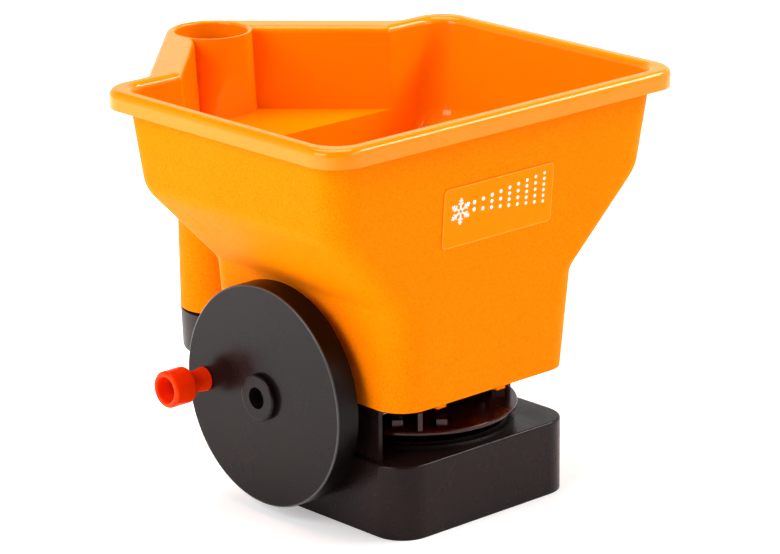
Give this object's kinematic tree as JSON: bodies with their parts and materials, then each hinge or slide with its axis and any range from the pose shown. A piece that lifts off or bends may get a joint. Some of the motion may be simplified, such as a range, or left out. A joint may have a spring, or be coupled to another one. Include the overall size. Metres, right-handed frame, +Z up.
{
  "type": "handheld salt spreader",
  "caption": "Handheld broadcast spreader: open orange hopper with a moulded grip tube on a black base, with a side crank wheel, a spinner disc and a trigger-worked gate.",
  "frame": {"origin": "on the ground under the spinner shaft, at the middle of the base's underside", "axes": "+Z up along the spinner shaft, -Y to the front (the label's side), +Y to the grip, -X to the crank wheel"},
  "size_m": [0.2354, 0.2494, 0.212],
  "materials": {
    "orange_plastic": "moulded orange polypropylene, fine grain outside, smooth inside and on the lip",
    "label_film": "thin printed film with a pale outline",
    "black_plastic": "satin black moulded plastic",
    "knob_plastic": "smooth orange-red plastic",
    "gear_plastic": "natural white acetal",
    "steel": "zinc-plated steel",
    "spring_steel": "drawn spring wire",
    "seal_rubber": "black rubber"
  },
  "bodies": {
    "frame": {"hopper": "orange_plastic", "front_label": "label_film", "base_housing": "black_plastic", "bottom_cover": "black_plastic", "grip_bracket": "black_plastic", "outlet_shroud": "black_plastic", "deck_bush": "gear_plastic", "foot_bush": "gear_plastic", "side_bush": "gear_plastic", "inner_bush": "gear_plastic", "floor_seal": "seal_rubber", "wheel_axle": "steel", "wheel_washer": "steel", "wheel_screw": "steel", "bottom_screws": "steel", "hopper_screws": "steel", "shroud_screws": "steel", "bracket_screws": "steel", "grip_screw": "steel", "trigger_spring": "spring_steel"},
    "crank": {"crank_wheel": "black_plastic", "knob_pin": "steel"},
    "knob": {"crank_knob": "knob_plastic"},
    "cross": {"cross_shaft": "steel", "drive_pinion": "gear_plastic", "cross_bevel": "gear_plastic", "shaft_clips": "steel"},
    "spinner": {"spinner_shaft": "steel", "spinner_bevel": "gear_plastic", "spinner_disc": "black_plastic", "disc_pin": "steel", "agitator": "gear_plastic"},
    "gate": {"gate_plate": "black_plastic", "trigger": "black_plastic", "trigger_pin": "steel"}
  },
  "joints": [
    {"name": "crank_turn", "type": "hinge", "parent": "frame", "child": "crank", "pos_m": [-0.0739, 0.0246, 0.0623], "axis": [1, 0, 0], "continuous": true},
    {"name": "knob_spin", "type": "hinge", "parent": "crank", "child": "knob", "pos_m": [-0.093, 0.068, 0.061], "axis": [1, 0, 0], "continuous": true},
    {"name": "cross_spin", "type": "hinge", "parent": "frame", "child": "cross", "pos_m": [-0.04, 0, 0.02462], "axis": [1, 0, 0], "continuous": true},
    {"name": "spinner_spin", "type": "hinge", "parent": "frame", "child": "spinner", "pos_m": [0, 0, 0.04], "axis": [0, 0, 1], "continuous": true},
    {"name": "gate_slide", "type": "slide", "parent": "frame", "child": "gate", "axis": [0, 1, 0], "range_m": [0, 0.018], "stiffness_N_per_m": 300, "springref_m": -0.01, "deforming": ["trigger_spring"]}
  ],
  "couplings": [
    {"joint": "cross_spin", "follows": "crank_turn", "ratio": 7},
    {"joint": "spinner_spin", "follows": "crank_turn", "ratio": -7}
  ]
}
